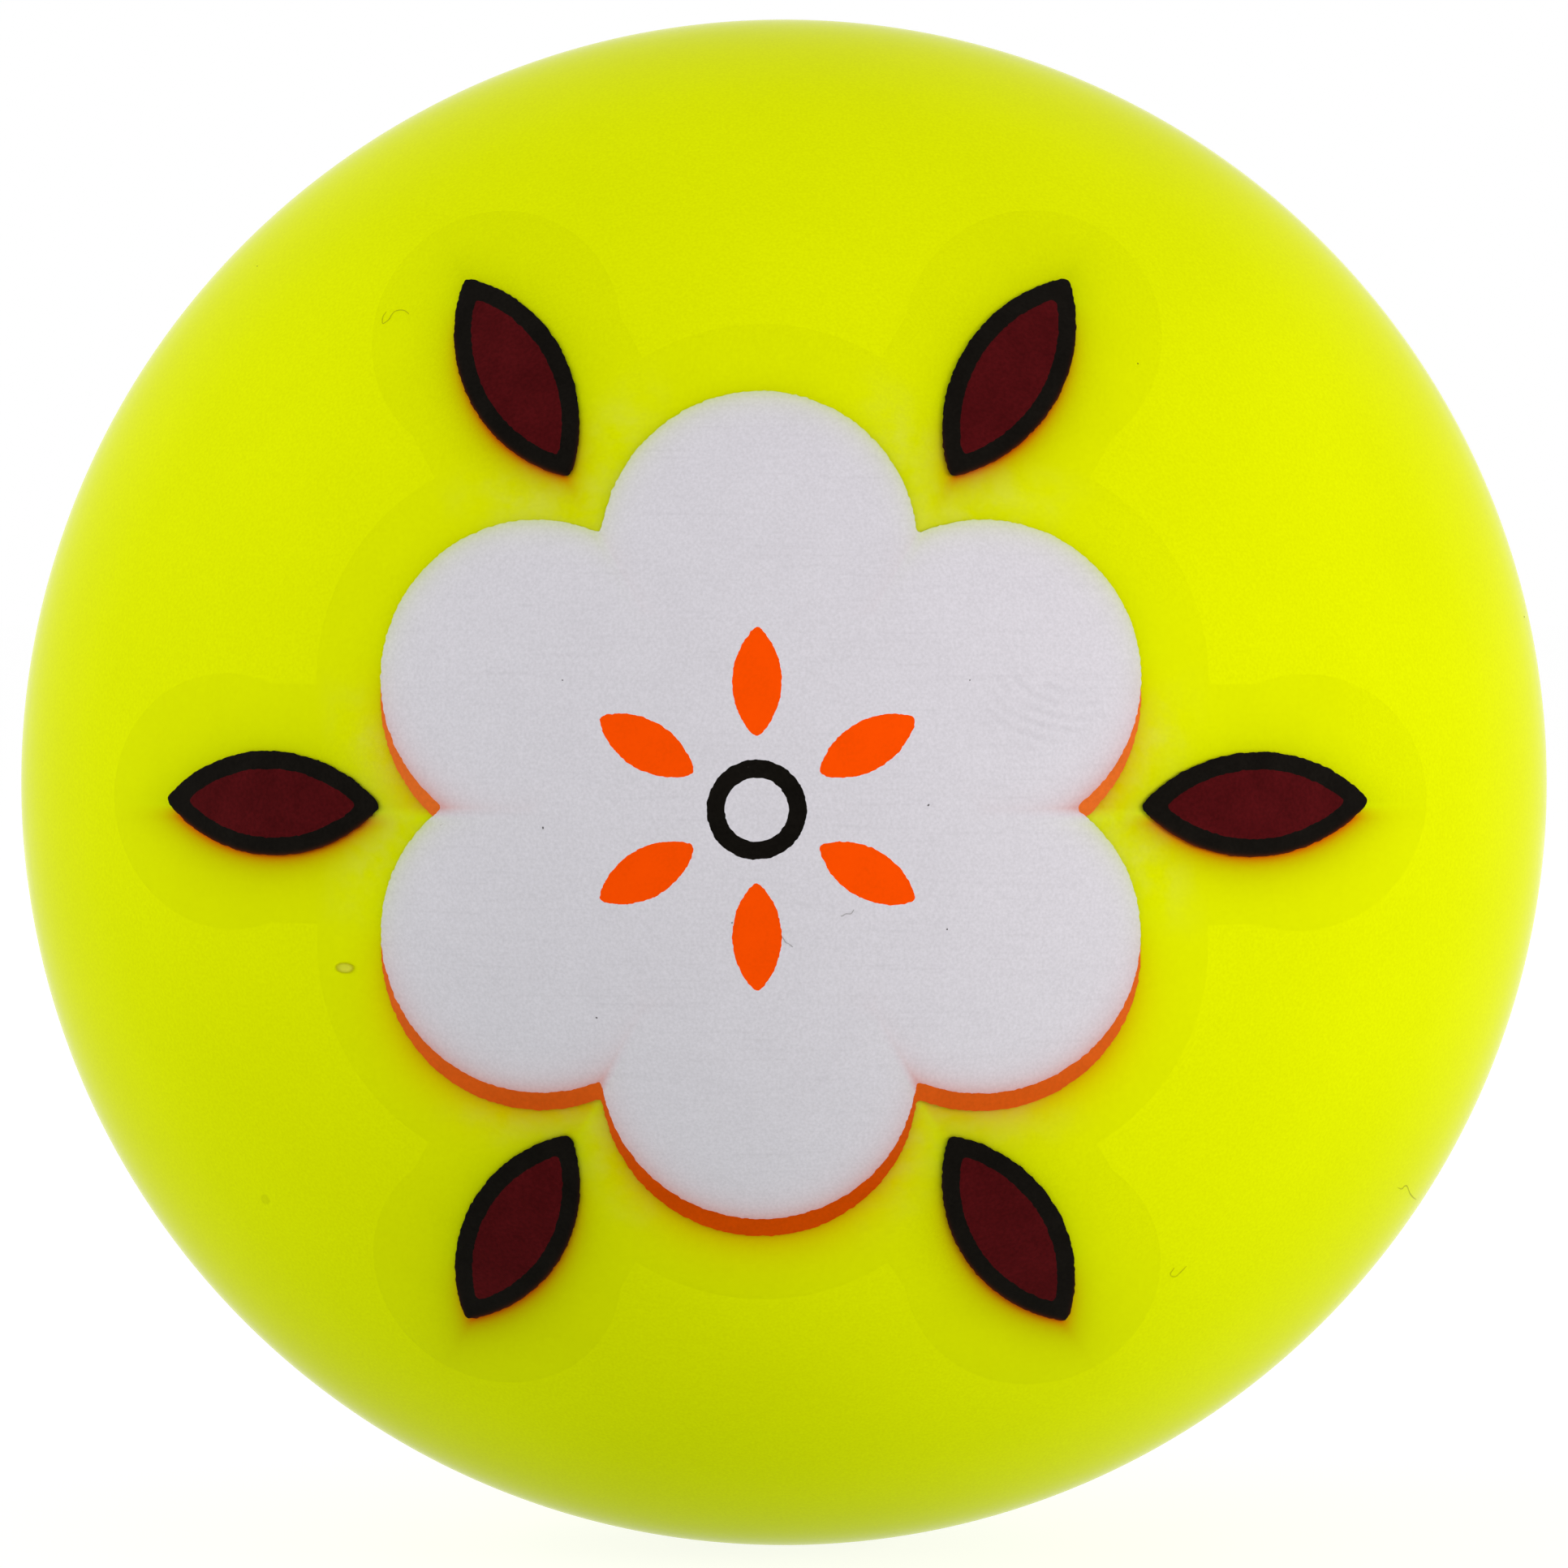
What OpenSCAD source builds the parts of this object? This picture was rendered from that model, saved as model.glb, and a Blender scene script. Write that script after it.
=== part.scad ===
// Field hockey ball: one smooth moulded ball with a printed transfer laid on its front.
// Sizes are in millimetres. The origin is the centre of the ball, +Z is up, and the
// middle of the print faces -Y. The print's outlines are drawn flat, as they are seen
// from straight in front of it, and each is cut to a thin layer that follows the ball.

/* [Ball] */
// Diameter of the ball
ball_d = 73; // [71.3:0.1:74.8]

/* [Transfer film] */
// Thickness of the clear film that carries the inks
film_t = 0.08; // [0.05:0.01:0.2]
// Width of bare film that was left round the print when it was cut out
film_margin = 3; // [1:0.1:4.5]

/* [Inks] */
// Thickness of the ink on the film
ink_t = 0.06; // [0.05:0.01:0.15]
// Width of the black lines
line_w = 0.8; // [0.4:0.05:1.1]
// Distance that the orange edge shows below the white field
drop_h = 0.8; // [0.3:0.05:1.2]

/* [White field] */
// Number of round lobes, and so of leaves and petals too
lobe_n = 6; // [6:1:8]
// Radius of the round end of each lobe
lobe_r = 7; // [6.2:0.1:7.6]
// Distance from the middle of the print to the middle of each lobe
lobe_ring_r = 11.4; // [10:0.1:12]

/* [Leaves] */
// Length of the maroon leaf in each notch of the white field, from tip to tip
leaf_l = 8.2; // [6:0.1:10]
// Width of each leaf at its middle
leaf_w = 3.1; // [1.5:0.1:4]
// Distance from the bottom of a notch to the leaf in front of it
leaf_gap = 4; // [3.6:0.1:5]

/* [Flower] */
// Outer diameter of the black ring at the middle of the print
ring_d = 4.4; // [3:0.1:5]
// Length of each orange petal round the ring, from tip to tip
petal_l = 5; // [3:0.1:6.5]
// Width of each petal at its middle
petal_w = 2.2; // [1:0.1:2.5]
// Distance from the ring to the petals
petal_gap = 0.9; // [0.5:0.1:2]

/* [Hidden] */
$fn = 180;
ball_r = ball_d / 2;
// Radius of the film's outer face, which the inks lie on
film_r = ball_r + film_t;
// Half of the distance between the middles of two neighbouring lobes
lobe_half_step = lobe_ring_r * sin(180 / lobe_n);
// Distance from the middle of the print to the bottom of each notch, which is where two
// lobes cross or, if that lies inside it, the edge of the round middle
notch_r = max(lobe_ring_r, lobe_ring_r * cos(180 / lobe_n)
    + sqrt(max(0, pow(lobe_r, 2) - pow(lobe_half_step, 2))));
// Distances from the middle of the print to the middle of each leaf and petal
leaf_ring_r = notch_r + leaf_gap + leaf_l / 2;
petal_ring_r = ring_d / 2 + petal_gap + petal_l / 2;
// Half of the film round a leaf, from the leaf's middle out past its tip and its side
film_tip = leaf_l / 2 + line_w + film_margin;
film_side = leaf_w / 2 + line_w + film_margin;
// Radius of the round end of the film that passes through both, and the distance from
// the middle of the print to the middle of that round end
film_end_r = (pow(film_tip, 2) + pow(film_side, 2)) / (2 * film_tip);
film_end_ring_r = leaf_ring_r + film_tip - film_end_r;
// Distance that a prism reaches in front of the ball before it is cut to the layer
reach = 1;

// Repeats a flat outline round the middle of the print, once for each lobe, or once
// for each notch when turned by half a step
module around(ring_r, half_step = 0) {
    for (i = [0 : lobe_n - 1])
        rotate((i + half_step / 2) * 360 / lobe_n) translate([0, ring_r]) children();
}

// Outline with two arcs that meet in points, grown all round by the distance grow
module pointed(l, w, grow = 0) {
    side_r = (pow(l, 2) + pow(w, 2)) / (4 * w);
    intersection_for (side = [-1, 1])
        translate([side * (side_r - w / 2), 0]) circle(r = side_r + grow);
}

// Outline of the white field: a round middle with a ring of round lobes
module scalloped(grow = 0) {
    circle(r = lobe_ring_r + grow);
    around(lobe_ring_r) circle(r = lobe_r + grow);
}

// The same outline, moved down by the distance that the orange edge shows
module dropped(grow = 0) {
    translate([0, -drop_h]) scalloped(grow);
}

// Outlines of the leaves, one in front of each notch
module leaves(grow = 0) {
    around(leaf_ring_r, 1) pointed(leaf_l, leaf_w, grow);
}

// Outlines of the petals, one in line with each lobe
module petals() {
    around(petal_ring_r) pointed(petal_l, petal_w);
}

// Outline of the ring at the middle of the print
module ring() {
    difference() {
        circle(d = ring_d);
        circle(d = ring_d - 2 * line_w);
    }
}

// Lays a flat outline on the front of a sphere of radius r, as a layer of thickness t
// whose two faces follow the sphere
module laid_on(r, t) {
    intersection() {
        difference() {
            sphere(r = r + t);
            sphere(r = r);
        }
        rotate([90, 0, 0]) linear_extrude(height = r + t + reach) children();
    }
}

// The moulded ball, smooth and whole
module ball() {
    color("#DCE400") sphere(r = ball_r);
}

// Outline of the film: a margin round the white field and its orange edge, and an arm
// with a round end under each leaf
module film_cut() {
    scalloped(film_margin);
    dropped(film_margin);
    around(0, 1) translate([-film_side, 0]) square([2 * film_side, film_end_ring_r]);
    around(film_end_ring_r, 1) circle(r = film_end_r);
}

// Clear film, cut out in one piece a margin outside the print
module transfer_film() {
    color("#CFD800") laid_on(ball_r, film_t) film_cut();
}

// White ink, left open where the flower is printed
module white_field() {
    color("#DCD9DF") laid_on(film_r, ink_t) difference() {
        scalloped();
        petals();
        ring();
    }
}

// Deep orange ink, which shows as an edge under the lower side of each lobe
module orange_edge() {
    color("#C8601E") laid_on(film_r, ink_t) difference() {
        dropped();
        scalloped();
    }
}

// Bright orange ink, as the petals of the flower
module orange_petals() {
    color("#FF5210") laid_on(film_r, ink_t) petals();
}

// Black ink, as the ring of the flower and a line round each leaf
module black_lines() {
    color("#1C1A18") laid_on(film_r, ink_t) {
        ring();
        difference() {
            leaves(line_w);
            leaves();
        }
    }
}

// Maroon ink, as the leaves
module maroon_leaves() {
    color("#4A1009") laid_on(film_r, ink_t) leaves();
}

ball();
transfer_film();
white_field();
orange_edge();
orange_petals();
black_lines();
maroon_leaves();
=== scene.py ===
"""Field hockey ball: a smooth moulded ball with a printed transfer laid on its front.

The print faces -Y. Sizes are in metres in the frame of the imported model, and the flat print is drawn in
millimetres.
"""
import math

import bpy
from bpy.props import FloatProperty, FloatVectorProperty, IntProperty, PointerProperty
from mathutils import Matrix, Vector
from mathutils.geometry import delaunay_2d_cdt
from mathutils.kdtree import KDTree


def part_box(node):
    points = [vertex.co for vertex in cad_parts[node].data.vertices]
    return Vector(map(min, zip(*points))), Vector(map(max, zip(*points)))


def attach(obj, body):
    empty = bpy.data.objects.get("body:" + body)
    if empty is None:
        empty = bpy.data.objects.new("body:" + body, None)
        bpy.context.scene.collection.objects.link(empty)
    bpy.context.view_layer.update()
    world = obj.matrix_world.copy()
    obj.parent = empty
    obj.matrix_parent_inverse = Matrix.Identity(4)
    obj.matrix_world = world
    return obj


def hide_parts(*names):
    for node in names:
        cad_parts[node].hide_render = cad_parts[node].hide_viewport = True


bl_info = {
    "name": "Field Hockey Ball",
    "version": (1, 0, 0),
    "blender": (4, 5, 0),
    "location": "3D View > Sidebar > Hockey Ball",
    "description": "Builds a moulded field hockey ball with a printed transfer, its floor, light and camera",
    "category": "Object",
}

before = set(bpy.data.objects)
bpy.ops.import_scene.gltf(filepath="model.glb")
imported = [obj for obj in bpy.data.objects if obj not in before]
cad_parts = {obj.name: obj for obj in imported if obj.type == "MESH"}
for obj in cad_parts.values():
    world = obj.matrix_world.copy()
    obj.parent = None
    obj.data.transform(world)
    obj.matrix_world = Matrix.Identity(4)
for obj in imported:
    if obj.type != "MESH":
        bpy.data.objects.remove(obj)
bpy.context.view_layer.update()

MM = 0.001
BALL_R = (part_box("ball")[1].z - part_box("ball")[0].z) / 2
FILM_R = -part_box("transfer_film")[0].y
INK_T = 0.06 * MM
INK_R = FILM_R + INK_T
LIFT = 0.01 * MM  # how far a layer sinks into the one below, so that the two never flicker
FRAME_PIXELS = 1932  # side of the picture's frame
AIM = (0.0, 0.0, -0.08 * MM)  # lets the ball's middle sit two pixels above the frame's
STAIN_PIXEL, STAIN_R = (327, 1478), 0.25 * MM  # a faint round stain low on the left


def linear(code):
    """Scene-linear red, green and blue of an sRGB hex value."""
    parts = [int(code[i:i + 2], 16) / 255 for i in (1, 3, 5)]
    return tuple(c / 12.92 if c <= 0.04045 else ((c + 0.055) / 1.055) ** 2.4 for c in parts)


def length(name, millimetres, description, low=0.0):
    """A size property in metres with a default in millimetres."""
    return FloatProperty(name=name, description=description, default=millimetres * MM, min=low * MM,
                         unit="LENGTH", subtype="DISTANCE", precision=5)


def colour(name, code, description):
    """A colour property with an sRGB hex default."""
    return FloatVectorProperty(name=name, description=description, default=linear(code), size=3,
                               min=0.0, max=1.0, subtype="COLOR")


# Settings


class BallSettings(bpy.types.PropertyGroup):
    """Size and colour of the ball."""
    diameter: length("Diameter", 2 * BALL_R / MM, "Across the smooth moulded ball")
    divisions: IntProperty(name="Divisions", description="Rows of faces along each side of the quad sphere",
                           default=120, min=16, max=128)
    yellow: colour("Yellow", "#DFEC00", "Moulded yellow plastic")


class PrintSettings(bpy.types.PropertyGroup):
    """Sizes of the transfer and its inks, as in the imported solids, and the wander of the printed edges."""
    count: IntProperty(name="Lobes", description="Lobes of the white field, and leaves between them",
                       default=6, min=6, max=8)
    lobe_r: length("Lobe Radius", 7.0, "Radius of each round lobe of the white field")
    lobe_ring_r: length("Lobe Ring Radius", 11.4, "Distance of the lobes' centres from the middle")
    drop: length("Drop", 0.8, "How far the deep orange edge is dropped below the white field")
    leaf_l: length("Leaf Length", 8.2, "Pointed leaf from tip to tip")
    leaf_w: length("Leaf Width", 3.1, "Pointed leaf across its middle")
    leaf_gap: length("Leaf Gap", 4.0, "From a notch of the white field to the leaf's inner tip")
    line_w: length("Line Width", 0.8, "Width of the black lines")
    ring_d: length("Ring Diameter", 4.4, "Outside of the black ring in the middle")
    petal_l: length("Petal Length", 5.0, "Pointed petal from tip to tip")
    petal_w: length("Petal Width", 2.2, "Pointed petal across its middle")
    petal_gap: length("Petal Gap", 0.9, "From the ring to the petal's inner tip")
    margin: length("Film Margin", 3.0, "How far the clear film reaches past the inks")
    ragged: length("Ragged Edge", 0.17, "Full swing of the small wander in the inks' printed edges")
    ragged_size: length("Ragged Size", 0.22, "Length of one wander along a printed edge")
    seed: FloatProperty(name="Seed", description="Picks another pattern of ragged edges", default=7.0)


class InkSettings(bpy.types.PropertyGroup):
    """Colours of the film, the inks and the marks."""
    film: colour("Film", "#C4C600", "Faint tone of the clear film and its adhesive")
    cloud: colour("Adhesive Cloud", "#E0D694",
                  "Milky adhesive where the film is bent most, between leaf and field")
    white: colour("White", "#D8D7DF", "White screen ink")
    deep_orange: colour("Deep Orange", "#CA4900", "Edge under the white field")
    # Painted light: the orange edge is drawn lighter higher up the ball, where more light falls on it.
    painted_lit_orange: colour("Thin Orange", "#E06C26", "The same edge where it is thinner, higher up the ball")
    bright_orange: colour("Bright Orange", "#FF5000", "Petals")
    black: colour("Black", "#13110E", "Ring and the lines round the leaves")
    maroon: colour("Maroon", "#480D10", "Leaves")


class StageSettings(bpy.types.PropertyGroup):
    """Camera, floor and light."""
    azimuth: FloatProperty(name="Azimuth", description="Camera round the ball, towards +X",
                           default=math.radians(1.88), unit="ROTATION", subtype="ANGLE")
    elevation: FloatProperty(name="Elevation", description="Camera above the ball's middle",
                             default=math.radians(1.88), unit="ROTATION", subtype="ANGLE")
    lens: FloatProperty(name="Lens", description="Focal length in mm on a 36 mm sensor", default=200.0)
    distance: length("Camera Distance", 418.4, "From the camera to the ball's middle")
    sky: FloatProperty(name="Room Light", description="Level of the soft light from all round", default=0.64)
    glow: FloatProperty(name="Floor Light",
                        description="Level of the soft light from the floor below the ball", default=0.46)
    glow_right: FloatProperty(name="Floor Light Right", description="The same to the right of the ball",
                              default=0.62)


def settings():
    """The four groups of settings on the scene."""
    s = bpy.context.scene
    return s.hockey_ball, s.hockey_print, s.hockey_inks, s.hockey_stage


# Nodes


def add_node(tree, kind, inputs=(), **values):
    """Adds a node, sets its own values, and gives each named or numbered input a value or a link.

    A node that is given as an input stands for its first output.
    """
    node = tree.nodes.new(kind)
    for key, value in values.items():
        setattr(node, key, value)
    for key, value in dict(inputs).items():
        if isinstance(value, bpy.types.Node):
            value = value.outputs[0]
        if isinstance(value, bpy.types.NodeSocket):
            tree.links.new(value, node.inputs[key])
        else:
            node.inputs[key].default_value = value
    return node


def new_tree(name, kind, sockets):
    """A node tree with its interface and its group input and output. A socket is (name, type, default)."""
    tree = bpy.data.node_groups.new(name, kind)
    for direction, items in sockets.items():
        for label, socket_type, *default in items:
            item = tree.interface.new_socket(name=label, in_out=direction, socket_type=socket_type)
            if default:
                item.default_value = default[0]
    return tree, tree.nodes.new("NodeGroupInput"), tree.nodes.new("NodeGroupOutput")


def geometry_tree(name, *sockets):
    """A geometry tree that takes a geometry, these sockets and a material, and gives a geometry back."""
    return new_tree(name, "GeometryNodeTree", {
        "INPUT": [("Geometry", "NodeSocketGeometry"), *sockets, ("Material", "NodeSocketMaterial")],
        "OUTPUT": [("Geometry", "NodeSocketGeometry")]})


def close_tree(tree, start, end, geometry):
    """Sets the material on the geometry and sends it out of the tree."""
    last = add_node(tree, "GeometryNodeSetMaterial",
                    {"Geometry": geometry, "Material": start.outputs["Material"]})
    tree.links.new(last.outputs[0], end.inputs[0])
    return tree


def run_tree(obj, tree, values):
    """Puts the object through a geometry tree and keeps the plain mesh that comes out."""
    modifier = obj.modifiers.new(tree.name, "NODES")
    modifier.node_group = tree
    for item in tree.interface.items_tree:
        if item.item_type == "SOCKET" and item.in_out == "INPUT" and item.name in values:
            modifier[item.identifier] = values[item.name]
    bpy.context.view_layer.update()
    depsgraph = bpy.context.evaluated_depsgraph_get()
    mesh = bpy.data.meshes.new_from_object(obj.evaluated_get(depsgraph), preserve_all_data_layers=True,
                                           depsgraph=depsgraph)
    obj.modifiers.clear()
    old, obj.data = obj.data, mesh
    mesh.name = obj.name
    bpy.data.meshes.remove(old)
    if not mesh.polygons:
        raise RuntimeError(f"{obj.name}: the tree {tree.name} made no faces")
    # The tree sets one material, and this leaves out the empty slot that comes with a mesh primitive
    mesh.materials.clear()
    mesh.materials.append(values["Material"])
    mesh.polygons.foreach_set("material_index", [0] * len(mesh.polygons))


def new_object(name, mesh):
    """An object at the origin of the frame."""
    obj = bpy.data.objects.new(name, mesh)
    bpy.context.scene.collection.objects.link(obj)
    return obj


def keep(obj, slot, *nodes):
    """Rides on the root body and stands for the CAD nodes, which it hides. The slot is not used."""
    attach(obj, "root")
    if nodes:
        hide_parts(*nodes)


# Geometry trees


def ball_tree():
    """A quad sphere: a gridded cube whose points are spread evenly and pushed out to the radius."""
    tree, start, end = geometry_tree("Moulded ball", ("Radius", "NodeSocketFloat"),
                                     ("Divisions", "NodeSocketInt"))
    rows = {f"Vertices {axis}": start.outputs["Divisions"] for axis in "XYZ"}
    cube = add_node(tree, "GeometryNodeMeshCube", {"Size": (2, 2, 2), **rows})
    place = add_node(tree, "GeometryNodeInputPosition")
    angle = add_node(tree, "ShaderNodeVectorMath", {0: place, "Scale": math.pi / 4}, operation="SCALE")
    spread = add_node(tree, "ShaderNodeVectorMath", {0: angle}, operation="TANGENT")
    unit = add_node(tree, "ShaderNodeVectorMath", {0: spread}, operation="NORMALIZE")
    out = add_node(tree, "ShaderNodeVectorMath", {0: unit, "Scale": start.outputs["Radius"]},
                   operation="SCALE")
    moved = add_node(tree, "GeometryNodeSetPosition", {"Geometry": cube, "Position": out})
    smooth = add_node(tree, "GeometryNodeSetShadeSmooth", {0: moved})
    real = add_node(tree, "GeometryNodeRealizeInstances", {0: smooth})
    return close_tree(tree, start, end, real)


def print_tree():
    """Repeats the flat parts round the middle, wanders their edges a little and lays them on the ball.

    A flat part faces -Y with its underside at y = 0. Faces marked "stays" are used once, and the rest are
    drawn at the origin and repeated. The wander depends on the flat place alone, so inks that share an
    edge still share it.
    """
    tree, start, end = geometry_tree(
        "Laid on the ball", ("Count", "NodeSocketInt"), ("Ring Radius", "NodeSocketFloat"),
        ("Half Step", "NodeSocketFloat"), ("Ball Radius", "NodeSocketFloat"), ("Ragged", "NodeSocketFloat"),
        ("Ragged Size", "NodeSocketFloat", 0.0005), ("Seed", "NodeSocketFloat"))
    given = start.outputs
    stays = add_node(tree, "GeometryNodeInputNamedAttribute", {"Name": "stays"}, data_type="BOOLEAN")
    parted = add_node(tree, "GeometryNodeSeparateGeometry",
                      {0: given["Geometry"], 1: stays.outputs["Attribute"]}, domain="FACE")
    index = add_node(tree, "GeometryNodeInputIndex")
    step = add_node(tree, "ShaderNodeMath", {0: index, 1: given["Half Step"]}, operation="ADD")
    turn = add_node(tree, "ShaderNodeMath", {0: math.tau, 1: given["Count"]}, operation="DIVIDE")
    angle = add_node(tree, "ShaderNodeMath", {0: step, 1: turn}, operation="MULTIPLY")
    back = add_node(tree, "ShaderNodeMath", {0: angle, 1: -1.0}, operation="MULTIPLY")
    spin = add_node(tree, "ShaderNodeCombineXYZ", {1: back})
    up = add_node(tree, "ShaderNodeCombineXYZ", {2: given["Ring Radius"]})
    ring = add_node(tree, "ShaderNodeVectorRotate", {"Vector": up, "Rotation": spin},
                    rotation_type="EULER_XYZ")
    points = add_node(tree, "GeometryNodePoints", {"Count": given["Count"], "Position": ring})
    copies = add_node(tree, "GeometryNodeInstanceOnPoints", {
        "Points": points, "Instance": parted.outputs["Inverted"], "Rotation": spin})
    joined = add_node(tree, "GeometryNodeJoinGeometry")
    tree.links.new(copies.outputs[0], joined.inputs[0])
    tree.links.new(parted.outputs["Selection"], joined.inputs[0])
    real = add_node(tree, "GeometryNodeRealizeInstances", {0: joined})

    place = add_node(tree, "GeometryNodeInputPosition")
    flat = add_node(tree, "ShaderNodeVectorMath", {0: place, 1: (1, 0, 1)}, operation="MULTIPLY")
    fine = add_node(tree, "ShaderNodeMath", {0: 1.0, 1: given["Ragged Size"]}, operation="DIVIDE")
    noise = add_node(tree, "ShaderNodeTexNoise",
                     {"Vector": flat, "W": given["Seed"], "Scale": fine, "Detail": 2.0},
                     noise_dimensions="4D")
    middle = add_node(tree, "ShaderNodeVectorMath", {0: noise.outputs["Color"], 1: (0.5, 0.5, 0.5)},
                      operation="SUBTRACT")
    swing = add_node(tree, "ShaderNodeVectorMath", {0: middle, "Scale": given["Ragged"]}, operation="SCALE")
    across = add_node(tree, "ShaderNodeVectorMath", {0: swing, 1: (1, 0, 1), 2: place},
                      operation="MULTIPLY_ADD")
    xyz = add_node(tree, "ShaderNodeSeparateXYZ", {0: across})
    radius = add_node(tree, "ShaderNodeMath", {0: given["Ball Radius"], 1: xyz.outputs["Y"]},
                      operation="SUBTRACT")
    depth = add_node(tree, "ShaderNodeMath", {0: radius, 1: 2.0}, operation="POWER")
    for axis in "XZ":
        square = add_node(tree, "ShaderNodeMath", {0: xyz.outputs[axis], 1: 2.0}, operation="POWER")
        depth = add_node(tree, "ShaderNodeMath", {0: depth, 1: square}, operation="SUBTRACT")
    depth = add_node(tree, "ShaderNodeMath", {0: depth}, operation="SQRT")
    front = add_node(tree, "ShaderNodeMath", {0: depth, 1: -1.0}, operation="MULTIPLY")
    laid = add_node(tree, "ShaderNodeCombineXYZ", {0: xyz.outputs["X"], 1: front, 2: xyz.outputs["Z"]})
    moved = add_node(tree, "GeometryNodeSetPosition", {"Geometry": real, "Position": laid})
    return close_tree(tree, start, end, moved)


# Flat outlines, in millimetres, drawn as the camera sees them


OUTLINE_STEP = 0.075
FILL_STEP = 0.7
CLEARANCE = 0.45  # share of the fill step that added points keep from an outline


def circle(x, z, radius):
    """Points of a circle, anticlockwise."""
    count = max(24, round(math.tau * radius / OUTLINE_STEP))
    return [(x + radius * math.cos(math.tau * i / count), z + radius * math.sin(math.tau * i / count))
            for i in range(count)]


def turned(points, angle, out=0.0):
    """Points moved out along +Z and then turned anticlockwise about the middle."""
    c, s = math.cos(angle), math.sin(angle)
    return [(x * c - (z + out) * s, x * s + (z + out) * c) for x, z in points]


def triangles(outlines, fill=0.0):
    """Triangulates closed outlines: points, and each triangle's corners with the outlines that hold it.

    With a fill step, points are added inside on a triangular grid, so that the part can follow the ball.
    """
    points, faces = [], []
    for outline in outlines:
        faces.append(list(range(len(points), len(points) + len(outline))))
        points += outline
    if fill:
        near = KDTree(len(points))
        for i, (x, z) in enumerate(points):
            near.insert((x, z, 0), i)
        near.balance()
        reach_x, reach_z = (max(abs(p[i]) for p in points) for i in (0, 1))
        row_step = fill * math.sqrt(3) / 2
        rows, columns = int(reach_z / row_step) + 1, int(reach_x / fill) + 1
        for row in range(-rows, rows + 1):
            for column in range(-columns, columns + 1):
                x, z = (column + row % 2 / 2) * fill, row * row_step
                if near.find((x, z, 0))[2] > fill * CLEARANCE:
                    points.append((x, z))
    made = delaunay_2d_cdt([Vector(p) for p in points], [], faces, 1, 1e-5, True)
    found = [(corners, set(held)) for corners, held in zip(made[2], made[5]) if held]
    return [tuple(v) for v in made[0]], found


def loops_of(points, corners):
    """Closed outlines round a set of triangles, each anticlockwise round its material."""
    sides = {(c[i], c[(i + 1) % 3]) for c in corners for i in range(3)}
    following = {a: b for a, b in sides if (b, a) not in sides}
    loops = []
    while following:
        first, second = following.popitem()
        loop = [first]
        while second != first:
            loop.append(second)
            second = following.pop(second)
        loops.append([points[i] for i in loop])
    return loops


def outline_of(outlines, wanted):
    """The one outline left when outlines are joined or cut. wanted() is given what holds a triangle."""
    points, found = triangles(outlines)
    loops = loops_of(points, [corners for corners, held in found if wanted(held)])

    def area(loop):
        return abs(sum(a[0] * b[1] - b[0] * a[1] for a, b in zip(loop, loop[1:] + loop[:1])))

    return max(loops, key=area)


def softened(outline, rounds=26):
    """Lets wet ink round its own corners, by some 0.3 mm: each point moves towards its neighbours."""
    for _ in range(rounds):
        outline = [((a[0] + 2 * b[0] + c[0]) / 4, (a[1] + 2 * b[1] + c[1]) / 4)
                   for a, b, c in zip(outline[-1:] + outline[:-1], outline, outline[1:] + outline[:1])]
    return outline


def pointed(long, wide, grow=0.0):
    """Outline of a shape with two pointed ends and two round sides, standing up."""
    side_r = (long ** 2 + wide ** 2) / (4 * wide)
    shift = side_r - wide / 2
    return softened(outline_of([circle(side * shift, 0, side_r + grow) for side in (-1, 1)],
                               lambda held: len(held) == 2))


class FlatPart:
    """Flat slabs gathered for one piece: undersides at y = 0, faces towards -Y."""

    def __init__(self):
        self.verts, self.faces, self.stays, self.edges = [], [], [], set()

    def add(self, points, corners, thick, stays):
        """Adds the slab that stands on these triangles."""
        used = {i: n for n, i in enumerate(sorted({i for c in corners for i in c}))}
        base, count = len(self.verts), len(used)
        for depth in (0.0, -thick):
            self.verts += [(points[i][0] * MM, depth, points[i][1] * MM) for i in used]
        sides = set()
        for c in corners:
            low = [base + used[i] for i in c]
            self.faces += [[i + count for i in low], low[::-1]]
            sides |= {(low[i], low[(i + 1) % 3]) for i in range(3)}
        for a, b in sorted(sides):
            if (b, a) not in sides:
                self.faces.append([a, b, b + count, a + count])
                self.edges |= {(a, b), (a + count, b + count)}
        self.stays += [stays] * (len(self.faces) - len(self.stays))

    def object(self, name):
        """The flat piece, smooth on its faces and sharp along its printed edge."""
        mesh = bpy.data.meshes.new(name)
        mesh.from_pydata(self.verts, [], self.faces, shade_flat=False)
        mesh.attributes.new("stays", "BOOLEAN", "FACE").data.foreach_set("value", self.stays)
        sharp = {tuple(sorted(e)) for e in self.edges}
        edge = mesh.attributes.new("sharp_edge", "BOOLEAN", "EDGE")
        edge.data.foreach_set("value", [tuple(sorted(e.vertices)) in sharp for e in mesh.edges])
        mesh.validate()
        return new_object(name, mesh)


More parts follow.
